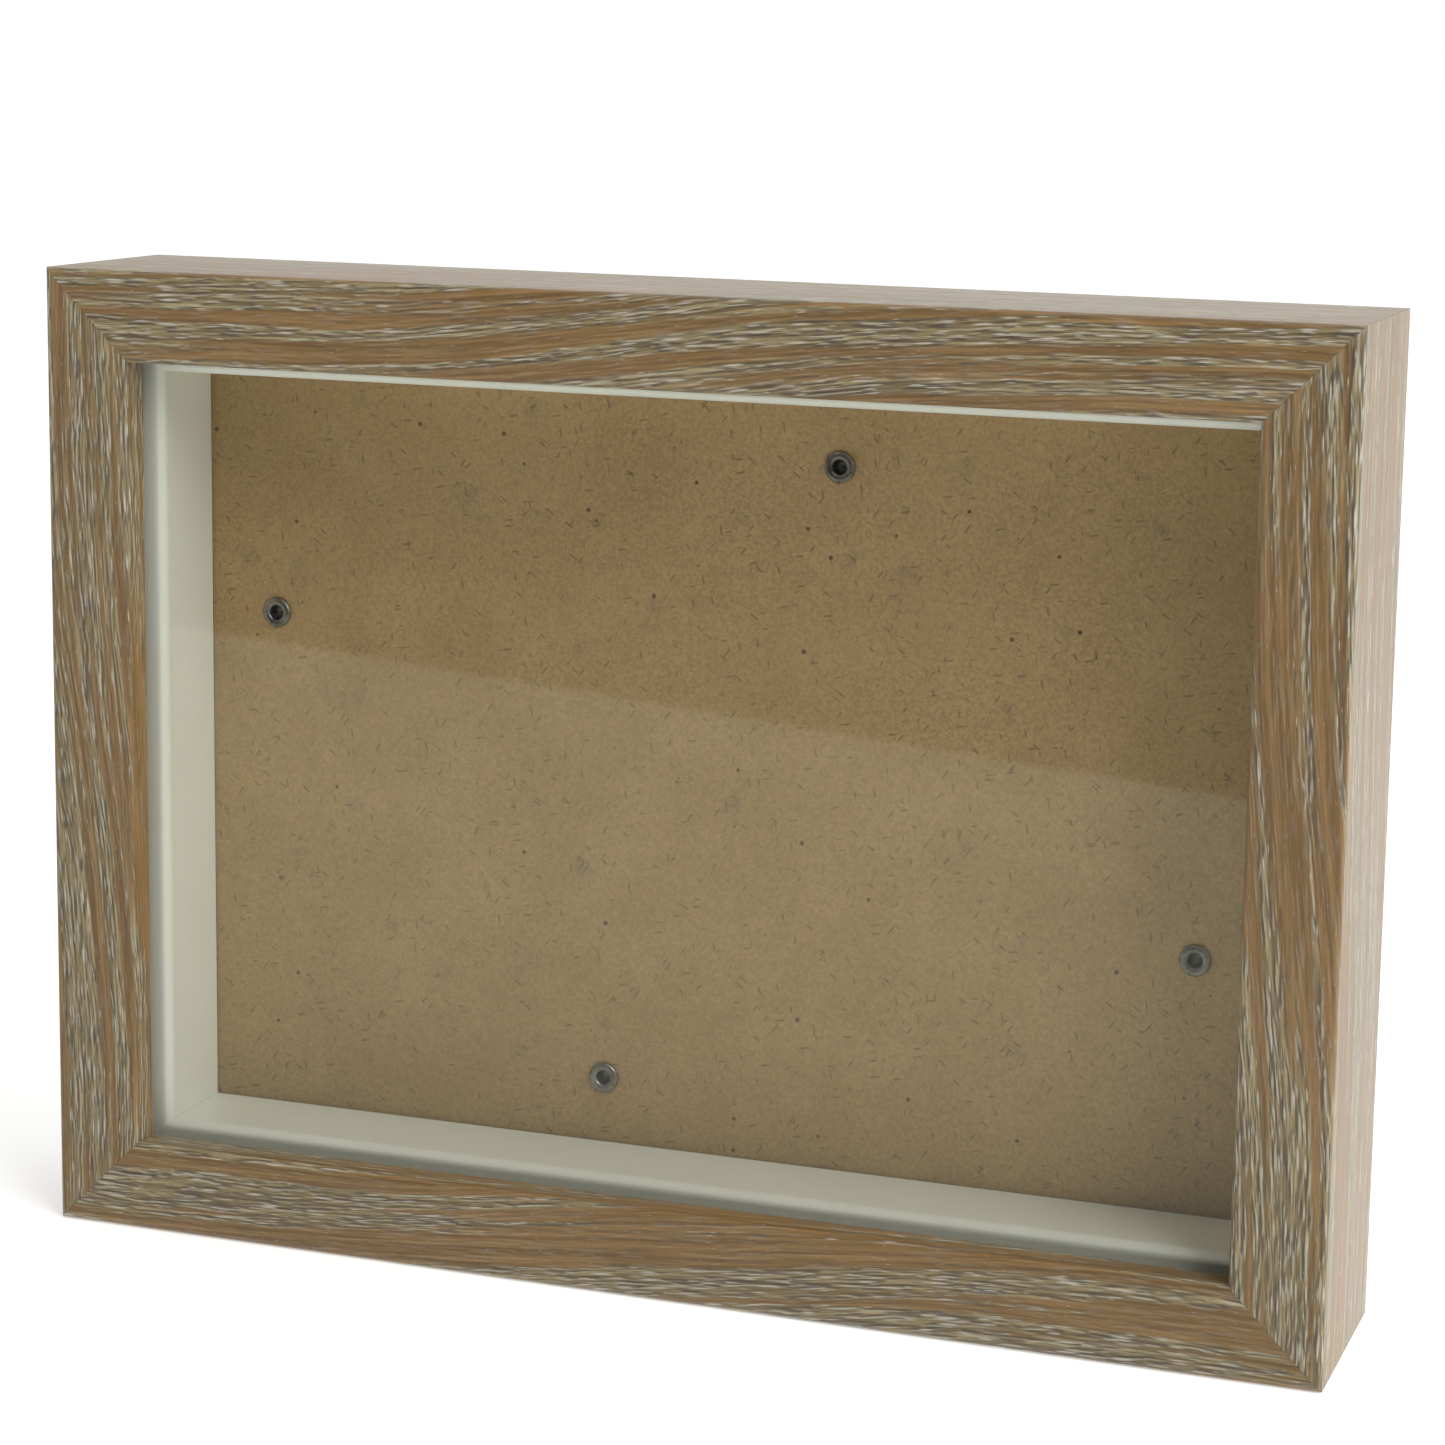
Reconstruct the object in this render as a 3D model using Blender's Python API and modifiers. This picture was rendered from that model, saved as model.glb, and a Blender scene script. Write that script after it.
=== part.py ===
"""A deep box frame (shadow box) for a 7 x 5 inch display, built from its separate pieces.

Four mitred rails carry a front lip. Behind the lip stand the glazing, a mitred liner that keeps
the glazing and the backboard apart, and the backboard. Four turn buttons, each riveted to the
backboard, swing into a groove that runs round the rails. V-nails hold the mitres, and two
sawtooth hangers are pinned to the backs of the top and left rails.

Axes: +X to the right seen from the front, +Y from the front to the back, +Z up.
The origin is the middle of the underside. The turn buttons rest swung clear of the groove, so
the backboard can be drawn out of the back; a quarter turn locks each one.
"""

import math

import bmesh
import bpy
from mathutils import Matrix, Vector

MM = 0.001

# Driving dimensions
WIDTH = 200.0 * MM
HEIGHT = 149.0 * MM
DEPTH = 34.6 * MM
RAIL_THICKNESS = 10.7 * MM
LIP_WIDTH = 13.8 * MM
LIP_THICKNESS = 4.7 * MM
GLAZING_THICKNESS = 2.0 * MM
LINER_THICKNESS = 4.7 * MM
LINER_DEPTH = 15.3 * MM
BOARD_THICKNESS = 3.0 * MM

# Gaps
FIT_GAP = 0.3 * MM
STACK_GAP = 0.2 * MM
MITRE_GAP = 0.1 * MM
PRESS_GAP = 0.15 * MM

# Rounded edges
FRONT_EDGE_RADIUS = 1.0 * MM
SIGHT_EDGE_RADIUS = 0.8 * MM
BACK_EDGE_RADIUS = 0.4 * MM
LINER_NOSE_RADIUS = 1.3 * MM
GLAZING_SEAM = 0.2 * MM
ARC_STEPS = 6

# Turn buttons and their rivets
BUTTON_THICKNESS = 1.0 * MM
BUTTON_REACH = 17.8 * MM
BUTTON_WIDTH = 9.0 * MM
BUTTON_TIP_WIDTH = 6.0 * MM
BUTTON_TIP_RADIUS = 0.8 * MM
BUTTON_INSET = 15.3 * MM
BUTTON_OFFSET_ALONG_WIDTH = 18.3 * MM
BUTTON_OFFSET_ALONG_HEIGHT = 20.4 * MM
RIVET_PATTERN_SHIFT = 1.0 * MM
GROOVE_WIDTH = 2.0 * MM
GROOVE_DEPTH = 4.0 * MM
SHANK_RADIUS = 1.5 * MM
RIVET_HOLE_RADIUS = 1.7 * MM
RIVET_HEAD_RADIUS = 2.9 * MM
RIVET_HEAD_HEIGHT = 0.9 * MM
CLINCH_RADIUS = 2.35 * MM
CLINCH_HEIGHT = 0.6 * MM
BORE_RADIUS = 1.15 * MM
BORE_DEPTH = 3.6 * MM

# V-nails
V_NAIL_LEG = 3.2 * MM
V_NAIL_THICKNESS = 0.5 * MM
V_NAIL_HEIGHT = 6.0 * MM
V_NAIL_BLUNT = 0.3 * MM
V_NAIL_PLACES = {"outer": 2.4 * MM, "inner": 6.1 * MM}

# Sawtooth hangers and their pins
HANGER_LENGTH = 40.0 * MM
HANGER_WIDTH = 7.6 * MM
HANGER_THICKNESS = 0.8 * MM
HANGER_RISE = 1.4 * MM
HANGER_BRIDGE = 26.0 * MM
HANGER_RAMP = 2.0 * MM
TOOTH_COUNT = 9
TOOTH_DEPTH = 1.4 * MM
TOOTH_TIP = 0.1 * MM
PIN_SPREAD = 16.4 * MM
PIN_RADIUS = 0.6 * MM
PIN_LENGTH = 8.0 * MM
PIN_HEAD_RADIUS = 1.5 * MM
PIN_HEAD_HEIGHT = 0.6 * MM

ROUND_STEPS = 24
CUT_MARGIN = 1.0 * MM

# Depths measured from the front face
FRONT_Y = -DEPTH / 2
BACK_Y = DEPTH / 2
GLAZING_Y = FRONT_Y + LIP_THICKNESS + STACK_GAP
LINER_Y = GLAZING_Y + GLAZING_THICKNESS + STACK_GAP
BOARD_Y = LINER_Y + LINER_DEPTH + STACK_GAP
BOARD_BACK_Y = BOARD_Y + BOARD_THICKNESS
BUTTON_Y = BOARD_BACK_Y + FIT_GAP
GROOVE_Y = BUTTON_Y + BUTTON_THICKNESS / 2 - GROOVE_WIDTH / 2

# Each side: its turn about Y from the bottom rail, its outer length and the middle of its outer face
SIDES = {
    "bottom": (0, WIDTH, Vector((0, 0, 0))),
    "left": (90, HEIGHT, Vector((-WIDTH / 2, 0, HEIGHT / 2))),
    "top": (180, WIDTH, Vector((0, 0, HEIGHT))),
    "right": (270, HEIGHT, Vector((WIDTH / 2, 0, HEIGHT / 2))),
}
# Each corner: the signs of its X and of its Z above the middle, and the two rails that meet there
CORNERS = {
    "bottom_left": (-1, -1, ("bottom", "left")),
    "bottom_right": (1, -1, ("bottom", "right")),
    "top_left": (-1, 1, ("top", "left")),
    "top_right": (1, 1, ("top", "right")),
}
HANGER_SIDES = ("top", "left")

# name: base colour, roughness, metallic
FINISHES = {
    "oak_foil": ((0.25, 0.16, 0.09), 0.55, 0.0),
    "cream_foil": ((0.50, 0.49, 0.42), 0.50, 0.0),
    "raw_board": ((0.28, 0.19, 0.10), 0.85, 0.0),
    "clear_glass": ((0.90, 0.95, 0.93), 0.03, 0.0),
    "zinc_steel": ((0.55, 0.56, 0.57), 0.35, 1.0),
    "dark_steel": ((0.22, 0.22, 0.22), 0.40, 1.0),
    "brassed_steel": ((0.62, 0.48, 0.24), 0.35, 1.0),
}


def clear_scene():
    for obj in list(bpy.data.objects):
        bpy.data.objects.remove(obj)


def new_collection(name):
    collection = bpy.data.collections.new(name)
    bpy.context.scene.collection.children.link(collection)
    return collection


def make_finish(name):
    colour, roughness, metallic = FINISHES[name]
    material = bpy.data.materials.new(name)
    material.use_nodes = True
    shader = material.node_tree.nodes["Principled BSDF"]
    shader.inputs["Base Color"].default_value = (*colour, 1.0)
    shader.inputs["Roughness"].default_value = roughness
    shader.inputs["Metallic"].default_value = metallic
    return material


def side_matrix(side):
    """From a side's own axes (X along it, Y from front to back, Z inwards) to the frame's."""
    turn, _, middle = SIDES[side]
    return Matrix.Translation(middle) @ Matrix.Rotation(math.radians(turn), 4, "Y")


def arc(centre, radius, start, end, steps=ARC_STEPS):
    """Points of an arc in a plane, from one angle to another in degrees, both ends included."""
    angles = [math.radians(start + (end - start) * i / steps) for i in range(steps + 1)]
    return [(centre[0] + radius * math.cos(a), centre[1] + radius * math.sin(a)) for a in angles]


def prism(name, outline, thickness):
    """A closed mesh: the outline in the XY plane, thickened along Z evenly about that plane."""
    curve = bpy.data.curves.new(name, "CURVE")
    curve.dimensions = "2D"
    curve.fill_mode = "BOTH"
    curve.extrude = thickness / 2
    spline = curve.splines.new("POLY")
    spline.points.add(len(outline) - 1)
    for point, (x, y) in zip(spline.points, outline):
        point.co = (x, y, 0, 1)
    spline.use_cyclic_u = True
    source = bpy.data.objects.new(name, curve)
    bpy.context.scene.collection.objects.link(source)
    bpy.context.view_layer.update()
    graph = bpy.context.evaluated_depsgraph_get()
    mesh = bpy.data.meshes.new_from_object(source.evaluated_get(graph))
    bpy.data.objects.remove(source)
    clean_mesh(mesh)
    return mesh


def clean_mesh(mesh):
    """Welds coincident points and turns every face outwards."""
    form = bmesh.new()
    form.from_mesh(mesh)
    bmesh.ops.remove_doubles(form, verts=form.verts, dist=1e-6)
    bmesh.ops.recalc_face_normals(form, faces=form.faces)
    form.to_mesh(mesh)
    form.free()


def place(name, mesh, finish, matrix, collection):
    obj = bpy.data.objects.new(name, mesh)
    obj.matrix_world = matrix
    if finish is not None:
        mesh.materials.append(finish)
    collection.objects.link(obj)
    return obj


def turned(name, profile, finish, matrix, collection):
    """A body of revolution about its own Z from (radius, height) points, outer side top to bottom."""
    mesh = bpy.data.meshes.new(name)
    form = bmesh.new()
    points = [form.verts.new((radius, 0, height)) for radius, height in profile]
    for start, end in zip(points, points[1:]):
        form.edges.new((start, end))
    form.to_mesh(mesh)
    form.free()
    obj = place(name, mesh, finish, matrix, collection)
    screw = obj.modifiers.new("turn", "SCREW")
    screw.steps = ROUND_STEPS
    screw.render_steps = ROUND_STEPS
    screw.use_merge_vertices = True
    screw.merge_threshold = 1e-5
    screw.use_smooth_shade = True
    return obj


def cylinder(name, radius, length, matrix, collection):
    """A plain cylinder along its own Z, centred, used as a cutter."""
    mesh = bpy.data.meshes.new(name)
    form = bmesh.new()
    bmesh.ops.create_cone(
        form, cap_ends=True, segments=ROUND_STEPS, radius1=radius, radius2=radius, depth=length
    )
    form.to_mesh(mesh)
    form.free()
    return place(name, mesh, None, matrix, collection)


def block(name, size, centre, finish, collection):
    """A plain box, its size and middle given in the frame's axes."""
    mesh = bpy.data.meshes.new(name)
    form = bmesh.new()
    bmesh.ops.create_cube(form, size=1.0, matrix=Matrix.Diagonal((*size, 1.0)))
    form.to_mesh(mesh)
    form.free()
    return place(name, mesh, finish, Matrix.Translation(centre), collection)


def cut(obj, cutter):
    """Cuts a helper's shape out of an object and hides the helper."""
    cutter.hide_render = True
    cutter.display_type = "WIRE"
    boolean = obj.modifiers.new("cut_" + cutter.name, "BOOLEAN")
    boolean.operation = "DIFFERENCE"
    boolean.solver = "EXACT"
    boolean.object = cutter


def mitred_bar(name, side, outline, finish, collection):
    """A bar along one side, cut at 45 degrees at both ends. The outline is (depth, inwards) points."""
    _, length, _ = SIDES[side]
    mesh = prism(name, outline, length)
    gap_along_bar = MITRE_GAP / 2 * math.sqrt(2)
    for vertex in mesh.vertices:
        depth, inwards, run = vertex.co
        half = length / 2 - inwards - gap_along_bar
        vertex.co = (math.copysign(half, run), depth, inwards)
    clean_mesh(mesh)
    return place(name, mesh, finish, side_matrix(side), collection)


def rail_outline():
    """Section of a rail: lip in front, rebate behind it, and the groove for the turn buttons."""
    lip_back = FRONT_Y + LIP_THICKNESS
    front, sight, back = FRONT_EDGE_RADIUS, SIGHT_EDGE_RADIUS, BACK_EDGE_RADIUS
    return [
        *arc((FRONT_Y + front, front), front, 180, 270),
        *arc((BACK_Y - back, back), back, 270, 360),
        *arc((BACK_Y - back, RAIL_THICKNESS - back), back, 0, 90),
        (GROOVE_Y + GROOVE_WIDTH, RAIL_THICKNESS),
        (GROOVE_Y + GROOVE_WIDTH, RAIL_THICKNESS - GROOVE_DEPTH),
        (GROOVE_Y, RAIL_THICKNESS - GROOVE_DEPTH),
        (GROOVE_Y, RAIL_THICKNESS),
        (lip_back, RAIL_THICKNESS),
        (lip_back, LIP_WIDTH),
        *arc((FRONT_Y + sight, LIP_WIDTH - sight), sight, 90, 180),
    ]


def liner_outline():
    """Section of a liner strip: square at the back, with a rounded nose at its front inner edge."""
    outer = RAIL_THICKNESS + FIT_GAP
    inner = outer + LINER_THICKNESS
    nose = LINER_NOSE_RADIUS
    return [
        (LINER_Y, outer),
        (LINER_Y + LINER_DEPTH, outer),
        (LINER_Y + LINER_DEPTH, inner),
        *arc((LINER_Y + nose, inner - nose), nose, 90, 180),
    ]


def button_places():
    """Each button: the middle of its pivot and the way its tip points at rest, in degrees about Y from +X.

    The four pivots are punched as one pattern, which sits a little off the board's middle.
    """
    inset = RAIL_THICKNESS + BUTTON_INSET
    across, up = WIDTH / 2 - inset, HEIGHT / 2 - inset
    middle = Vector((RIVET_PATTERN_SHIFT, BUTTON_Y, HEIGHT / 2))
    return {
        "top": (middle + Vector((BUTTON_OFFSET_ALONG_WIDTH, 0, up)), 180),
        "bottom": (middle - Vector((BUTTON_OFFSET_ALONG_WIDTH, 0, up)), 0),
        "left": (middle + Vector((-across, 0, BUTTON_OFFSET_ALONG_HEIGHT)), 90),
        "right": (middle + Vector((across, 0, -BUTTON_OFFSET_ALONG_HEIGHT)), 270),
    }


def button_outline():
    """Flat shape of a turn button: round at the pivot, tapering to a narrower rounded tip."""
    half_tip = BUTTON_TIP_WIDTH / 2
    tip = BUTTON_REACH - BUTTON_TIP_RADIUS
    side = half_tip - BUTTON_TIP_RADIUS
    return [
        *arc((tip, -side), BUTTON_TIP_RADIUS, 270, 360),
        *arc((tip, side), BUTTON_TIP_RADIUS, 0, 90),
        *arc((0, 0), BUTTON_WIDTH / 2, 80, 280, 2 * ARC_STEPS),
    ]


def rivet_profile():
    """Half section of a semi-tubular rivet: Z runs from the clinched end to the domed head."""
    board_front = BOARD_Y - BUTTON_Y
    clinch_top = board_front - STACK_GAP
    clinch_end = clinch_top - CLINCH_HEIGHT
    head_under = BUTTON_THICKNESS + STACK_GAP
    head_top = head_under + RIVET_HEAD_HEIGHT
    lip = (CLINCH_RADIUS - BORE_RADIUS) / 2
    return [
        (0, head_top),
        (RIVET_HEAD_RADIUS * 0.6, head_top - RIVET_HEAD_HEIGHT * 0.15),
        (RIVET_HEAD_RADIUS * 0.9, head_top - RIVET_HEAD_HEIGHT * 0.5),
        (RIVET_HEAD_RADIUS, head_under),
        (SHANK_RADIUS, head_under),
        (SHANK_RADIUS, clinch_top),
        (CLINCH_RADIUS, clinch_top),
        (CLINCH_RADIUS - lip * 0.3, clinch_end + CLINCH_HEIGHT * 0.3),
        (CLINCH_RADIUS - lip, clinch_end),
        (BORE_RADIUS + lip * 0.3, clinch_end + CLINCH_HEIGHT * 0.3),
        (BORE_RADIUS, clinch_top),
        (BORE_RADIUS, clinch_end + BORE_DEPTH),
        (0, clinch_end + BORE_DEPTH),
    ]


def v_nail_outline(place_on_mitre, spread):
    """An L of two equal legs, its bend on the mitre and slightly blunted, grown by the spread."""
    low = place_on_mitre - spread
    inner = place_on_mitre + V_NAIL_THICKNESS + spread
    end = place_on_mitre + V_NAIL_LEG + spread
    blunt = V_NAIL_BLUNT
    leg = [(low + blunt, low), (end, low), (end, inner), (inner + blunt, inner)]
    return leg + [(y, x) for x, y in reversed(leg)]


def corner_matrix(corner):
    """From a corner's own axes (X and Y inwards along its two rails, Z to the back) to the frame's."""
    sign_x, sign_z, _ = CORNERS[corner]
    place_x, place_z = sign_x * WIDTH / 2, HEIGHT / 2 * (1 + sign_z)
    columns = Matrix(((-sign_x, 0, 0), (0, 0, 1), (0, -sign_z, 0)))
    return Matrix.Translation((place_x, 0, place_z)) @ columns.to_4x4()


def v_nail_mesh(name, place_on_mitre, corner, spread):
    """A V-nail flush with the rails' backs, or its pocket when the spread is above zero."""
    reach_out = CUT_MARGIN if spread else 0
    mesh = prism(name, v_nail_outline(place_on_mitre, spread), V_NAIL_HEIGHT + spread + reach_out)
    middle = BACK_Y - (V_NAIL_HEIGHT + spread) / 2 + reach_out / 2
    mesh.transform(corner_matrix(corner) @ Matrix.Translation((0, 0, middle)))
    clean_mesh(mesh)
    return mesh


def hanger_matrix(side):
    """From a hanger's own axes (X along the rail, Y inwards, Z to the back) to the frame's."""
    turn = Matrix(((1, 0, 0), (0, 0, 1), (0, 1, 0))).to_4x4()
    lift = Matrix.Translation((0, BACK_Y + STACK_GAP, RAIL_THICKNESS / 2))
    return side_matrix(side) @ lift @ turn


def hanger_section():
    """Long section of a sawtooth hanger: two flat feet and a raised bridge between them."""
    foot, bridge = HANGER_LENGTH / 2, HANGER_BRIDGE / 2
    ramp, rise, sheet = bridge + HANGER_RAMP, HANGER_RISE, HANGER_THICKNESS
    lower = [(-foot, 0), (-ramp, 0), (-bridge, rise), (bridge, rise), (ramp, 0), (foot, 0)]
    upper = [(x, height + sheet) for x, height in reversed(lower)]
    return lower + upper


def tooth_comb():
    """Outline of the cutter that leaves the hanger's teeth, with small flat tips, on its inner edge."""
    edge = HANGER_WIDTH / 2 + TOOTH_TIP
    pitch = (HANGER_BRIDGE - HANGER_RAMP) / TOOTH_COUNT
    start = -pitch * TOOTH_COUNT / 2
    points = [(start, edge + CUT_MARGIN)]
    for index in range(TOOTH_COUNT):
        points.append((start + index * pitch, edge))
        points.append((start + (index + 0.5) * pitch, edge - TOOTH_DEPTH))
    points.append((-start, edge))
    points.append((-start, edge + CUT_MARGIN))
    return points[::-1]


def pin_profile():
    """Half section of a hanger pin: Z runs from its point up to its head."""
    seat = HANGER_THICKNESS + STACK_GAP
    return [
        (0, seat + PIN_HEAD_HEIGHT),
        (PIN_HEAD_RADIUS * 0.75, seat + PIN_HEAD_HEIGHT * 0.85),
        (PIN_HEAD_RADIUS, seat + PIN_HEAD_HEIGHT * 0.3),
        (PIN_HEAD_RADIUS, seat),
        (PIN_RADIUS, seat),
        (PIN_RADIUS, 3 * PIN_RADIUS - PIN_LENGTH),
        (0, -PIN_LENGTH),
    ]


def build_rails(finishes, parts, cutters):
    rails = {}
    for side in SIDES:
        rails[side] = mitred_bar("rail_" + side, side, rail_outline(), finishes["oak_foil"], parts)
    for corner, (_, _, meeting) in CORNERS.items():
        for label, where in V_NAIL_PLACES.items():
            name = f"v_nail_{corner}_{label}"
            nail = v_nail_mesh(name, where, corner, 0)
            place(name, nail, finishes["zinc_steel"], Matrix.Identity(4), parts)
            pocket = v_nail_mesh("pocket_" + name, where, corner, PRESS_GAP)
            cutter = place("pocket_" + name, pocket, None, Matrix.Identity(4), cutters)
            for side in meeting:
                cut(rails[side], cutter)
    return rails


def build_hangers(finishes, rails, parts, cutters):
    across = Matrix.Rotation(math.radians(90), 4, "X")
    for side in HANGER_SIDES:
        name = "hanger_" + side
        mesh = prism(name, hanger_section(), HANGER_WIDTH)
        mesh.transform(across)
        hanger = place(name, mesh, finishes["brassed_steel"], hanger_matrix(side), parts)
        comb = prism("teeth_" + side, tooth_comb(), 4 * HANGER_RISE)
        comb.transform(Matrix.Translation((0, 0, HANGER_RISE)))
        cut(hanger, place("teeth_" + side, comb, None, hanger_matrix(side), cutters))
        for label, sign in (("a", -1), ("b", 1)):
            spot = hanger_matrix(side) @ Matrix.Translation((sign * PIN_SPREAD, 0, 0))
            pin = f"hanger_pin_{side}_{label}"
            turned(pin, pin_profile(), finishes["brassed_steel"], spot, parts)
            hole_length = 2 * (PIN_LENGTH + PRESS_GAP)
            hole = cylinder("hole_" + pin, PIN_RADIUS + PRESS_GAP, hole_length, spot, cutters)
            cut(rails[side], hole)
            cut(hanger, hole)


def build_infill(finishes, parts):
    """The glazing and the four liner strips. Returns the size of the rebate's loose pieces."""
    loose_width = WIDTH - 2 * (RAIL_THICKNESS + FIT_GAP)
    loose_height = HEIGHT - 2 * (RAIL_THICKNESS + FIT_GAP)
    glazing = block(
        "glazing",
        (loose_width, GLAZING_THICKNESS, loose_height),
        (0, GLAZING_Y + GLAZING_THICKNESS / 2, HEIGHT / 2),
        finishes["clear_glass"],
        parts,
    )
    seam = glazing.modifiers.new("seamed_edges", "BEVEL")
    seam.width = GLAZING_SEAM
    seam.segments = 1
    for side in SIDES:
        mitred_bar("liner_" + side, side, liner_outline(), finishes["cream_foil"], parts)
    return loose_width, loose_height


def build_back(finishes, loose_size, parts, cutters):
    board = block(
        "backboard",
        (loose_size[0], BOARD_THICKNESS, loose_size[1]),
        (0, BOARD_Y + BOARD_THICKNESS / 2, HEIGHT / 2),
        finishes["raw_board"],
        parts,
    )
    to_back = Matrix.Rotation(math.radians(-90), 4, "X")
    for side, (pivot, points_to) in button_places().items():
        turn = Matrix.Rotation(math.radians(points_to), 4, "Y")
        upright = Matrix.Translation(pivot) @ turn @ to_back
        hole_length = 2 * (BOARD_THICKNESS + BUTTON_THICKNESS + CUT_MARGIN)
        hole = cylinder("rivet_hole_" + side, RIVET_HOLE_RADIUS, hole_length, upright, cutters)
        cut(board, hole)
        mesh = prism("turn_button_" + side, button_outline(), BUTTON_THICKNESS)
        mesh.transform(Matrix.Translation((0, 0, BUTTON_THICKNESS / 2)))
        button = place("turn_button_" + side, mesh, finishes["zinc_steel"], upright, parts)
        cut(button, hole)
        turned("rivet_" + side, rivet_profile(), finishes["dark_steel"], upright, parts)


def main():
    clear_scene()
    parts = new_collection("shadow_box")
    cutters = new_collection("cutters")
    finishes = {name: make_finish(name) for name in FINISHES}
    rails = build_rails(finishes, parts, cutters)
    build_hangers(finishes, rails, parts, cutters)
    loose_size = build_infill(finishes, parts)
    build_back(finishes, loose_size, parts, cutters)


main()
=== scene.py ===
"""The looks of the deep box frame: printed oak foil on MDF rails, glazing, cream liner and riveted back.

Every rail is shown as its MDF core and the foil wrapped round it. Sizes and places come from the
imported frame; what it can't say, such as the roundness of an edge, is a named value in millimetres.
"""

import math

import bmesh
import bpy
from mathutils import Matrix, Vector


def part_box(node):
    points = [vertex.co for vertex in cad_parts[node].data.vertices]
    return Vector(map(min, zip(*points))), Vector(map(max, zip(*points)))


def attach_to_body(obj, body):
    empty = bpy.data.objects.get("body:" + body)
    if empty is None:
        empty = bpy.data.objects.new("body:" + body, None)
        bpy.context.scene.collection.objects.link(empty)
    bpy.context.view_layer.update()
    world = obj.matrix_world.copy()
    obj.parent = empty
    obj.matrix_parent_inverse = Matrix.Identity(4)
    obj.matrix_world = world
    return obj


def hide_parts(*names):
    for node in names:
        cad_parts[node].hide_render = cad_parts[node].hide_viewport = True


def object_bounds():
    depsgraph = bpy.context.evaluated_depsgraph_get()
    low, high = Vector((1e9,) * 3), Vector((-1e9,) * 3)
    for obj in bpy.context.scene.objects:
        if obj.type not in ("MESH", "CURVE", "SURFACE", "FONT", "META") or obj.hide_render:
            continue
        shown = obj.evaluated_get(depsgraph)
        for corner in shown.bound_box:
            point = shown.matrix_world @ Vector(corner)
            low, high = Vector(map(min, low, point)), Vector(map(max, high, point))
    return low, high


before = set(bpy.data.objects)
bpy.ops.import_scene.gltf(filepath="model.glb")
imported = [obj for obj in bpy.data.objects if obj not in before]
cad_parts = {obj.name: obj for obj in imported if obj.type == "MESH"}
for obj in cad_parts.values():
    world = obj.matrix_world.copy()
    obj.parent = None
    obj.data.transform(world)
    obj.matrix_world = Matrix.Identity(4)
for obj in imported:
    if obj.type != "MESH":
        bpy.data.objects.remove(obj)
CAD_LOW, CAD_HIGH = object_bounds()

MM = 0.001
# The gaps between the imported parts: to the sides, and from front to back
FIT_GAP = 0.3 * MM
STACK_GAP = 0.2 * MM

# Sizes and depths of the frame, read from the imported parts
RAIL_LOW, RAIL_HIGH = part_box("rail_bottom")
GLAZING_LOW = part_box("glazing")[0]
LINER_LOW, LINER_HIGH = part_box("liner_bottom")
BOARD_LOW, BOARD_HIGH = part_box("backboard")
BUTTON_LOW, BUTTON_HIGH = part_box("turn_button_top")
WIDTH = CAD_HIGH.x - CAD_LOW.x
HEIGHT = CAD_HIGH.z - CAD_LOW.z
FRONT_Y = RAIL_LOW.y
BACK_Y = RAIL_HIGH.y
LIP_WIDTH = RAIL_HIGH.z
LIP_BACK_Y = GLAZING_LOW.y - STACK_GAP
RAIL_THICKNESS = GLAZING_LOW.z - FIT_GAP

# Rail: foil, edges, and the groove that the turn buttons swing into
FOIL_THICKNESS = 0.12 * MM
FOIL_WRAP = 1.9 * MM
FRONT_EDGE_RADIUS = 0.9 * MM
SIGHT_EDGE_RADIUS = 0.8 * MM
BACK_EDGE_RADIUS = 0.4 * MM
CORE_BACK_Y = BACK_Y - FOIL_THICKNESS
GROOVE_WIDTH = 2.0 * MM
GROOVE_DEPTH = 4.0 * MM
MITRE_GAP = 0.02 * MM

# The foil's grain: its mean slope inwards along a rail, and how far apart the rails' patterns are taken
GRAIN_DRIFT = 0.06
GRAIN_RAIL_STEP = 40 * MM

# Liner and backboard. The right strip is drawn narrower by the tuck, so that the lip hides it.
LINER_NOSE_RADIUS = 1.7 * MM
LINER_TUCK = 0.4 * MM
FACE_TOLERANCE = 0.1 * MM
BOARD_EDGE_RADIUS = 0.35 * MM

# Rivets and turn buttons
SHANK_RADIUS = 1.5 * MM
RIVET_HOLE_RADIUS = 1.7 * MM
RIVET_HEAD_RADIUS = 2.9 * MM
RIVET_HEAD_FOOT_RADIUS = 2.813 * MM
CLINCH_RADIUS = 2.35 * MM
BORE_RADIUS = 1.1 * MM
BORE_DEPTH = 2.4 * MM
# The closed end of the bore from its wall to its middle, in shares of the bore's radius and depth
BORE_END = ((0.96, 0.85), (0.6, 1.0), (0, 1.05))
BUTTON_WIDTH = 9.0 * MM
BUTTON_REACH = BUTTON_HIGH.x - BUTTON_LOW.x - BUTTON_WIDTH / 2
BUTTON_TIP_WIDTH = 6.0 * MM
BUTTON_TIP_RADIUS = 0.9 * MM
BUTTON_EDGE_RADIUS = 0.22 * MM
# The way each button's tip points at rest, in degrees about Y from +X
BUTTON_TURNS = {"top": 180, "bottom": 0, "left": 90, "right": 270}

# V-nails
V_NAIL_LEG = 3.2 * MM
V_NAIL_THICKNESS = 0.5 * MM
V_NAIL_HEIGHT = 6.0 * MM
V_NAIL_BLUNT = 0.3 * MM
V_NAIL_POCKET = 0.12 * MM
V_NAIL_SINK = 0.02 * MM
V_NAIL_EDGE_RADIUS = 0.06 * MM
V_NAIL_PLACES = {"outer": 2.4 * MM, "inner": 6.1 * MM}

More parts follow.
